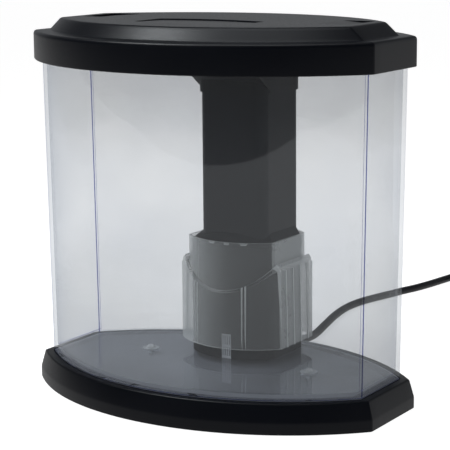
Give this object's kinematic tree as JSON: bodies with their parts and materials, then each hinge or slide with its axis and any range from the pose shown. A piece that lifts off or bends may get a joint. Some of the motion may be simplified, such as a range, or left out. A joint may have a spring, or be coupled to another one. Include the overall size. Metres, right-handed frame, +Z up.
{
  "type": "column filter aquarium",
  "caption": "Desk-top barrel-plan aquarium with a black base, clear tank, central pump column in a ribbed cup, and a lift-off lid with lamp and feeding hatch.",
  "frame": {"origin": "centre of the base at the level it stands on", "axes": "+X along the width, to the viewer's right; +Y to the back, where the cord leaves; +Z up"},
  "size_m": [0.302, 0.6616, 0.2928],
  "materials": {
    "black_shell": "satin moulded, faint grain",
    "black_matte": "matt moulded",
    "column_grey": "satin moulded",
    "strainer_grey": "moulded, slightly translucent",
    "clear_tank": "clear moulded acrylic, cool tint",
    "clear_cup": "milky translucent plastic",
    "clear_pipe": "clear plastic",
    "clear_cap": "clear plastic cap over the fixing",
    "clear_seal": "clear silicone",
    "rubber_black": "matt",
    "screw_steel": "plain",
    "foam_dark": "open-cell foam",
    "core_iron": "laminated, varnished",
    "coil_copper": "enamelled copper",
    "shaft_ceramic": "polished ceramic",
    "white_plastic": "moulded",
    "lead_black": "extruded, satin",
    "board_white": "solder mask",
    "led_yellow": "phosphor",
    "pin_steel": "polished",
    "tie_black": "matt",
    "plug_black": "matt moulded",
    "pin_nickel": "nickel plated"
  },
  "bodies": {
    "tank": {"base_tray": "black_shell", "bottom_cover": "black_matte", "base_feet": "rubber_black", "cover_screws": "screw_steel", "seat_gasket": "rubber_black", "tank_shell": "clear_tank", "floor_screws": "clear_cap", "floor_seals": "clear_seal", "column_foot": "column_grey", "inlet_strainer": "strainer_grey", "filter_cup": "clear_cup", "pump_chamber": "column_grey", "column_tube": "column_grey", "column_head": "black_shell", "sponge_grid": "column_grey", "filter_sponge": "foam_dark", "pump_shelf": "column_grey", "motor_block": "black_matte", "motor_cover": "black_matte", "motor_core": "core_iron", "motor_coil": "coil_copper", "pump_volute": "column_grey", "pump_shaft": "shaft_ceramic", "shaft_bushes": "rubber_black", "riser_pipe": "clear_pipe", "air_nozzle": "black_matte", "air_tube": "clear_pipe", "lead_conduit": "black_matte", "conduit_seal": "rubber_black", "conduit_nut": "white_plastic", "lamp_socket": "black_matte", "pump_lead": "lead_black", "driver_box": "black_matte", "inner_lead": "lead_black", "lead_clamp": "black_matte", "clamp_screws": "screw_steel", "cord_gland": "rubber_black", "power_cord": "lead_black", "cord_coil": "lead_black", "cord_tie": "tie_black", "plug_body": "plug_black", "plug_pins": "pin_nickel"},
    "impeller": {"impeller": "white_plastic", "rotor_magnet": "core_iron"},
    "lid": {"lid_shell": "black_shell", "lamp_tray": "white_plastic", "lamp_screws": "screw_steel", "led_board": "board_white", "led_chips": "led_yellow", "lamp_window": "clear_pipe", "window_seal": "rubber_black", "lamp_plug": "black_matte"},
    "hatch": {"feeding_hatch": "black_shell", "hatch_pins": "pin_steel"}
  },
  "joints": [
    {"name": "lid_lift", "type": "slide", "parent": "tank", "child": "lid", "axis": [0, 0, 1], "range_m": [0, 0.12]},
    {"name": "hatch_swing", "type": "hinge", "parent": "lid", "child": "hatch", "pos_m": [0, -0.015, 0.2885], "axis": [-1, 0, 0], "range_deg": [0, 85]},
    {"name": "impeller_spin", "type": "hinge", "parent": "tank", "child": "impeller", "pos_m": [0, 0.034, 0.089], "axis": [0, 1, 0], "continuous": true}
  ]
}
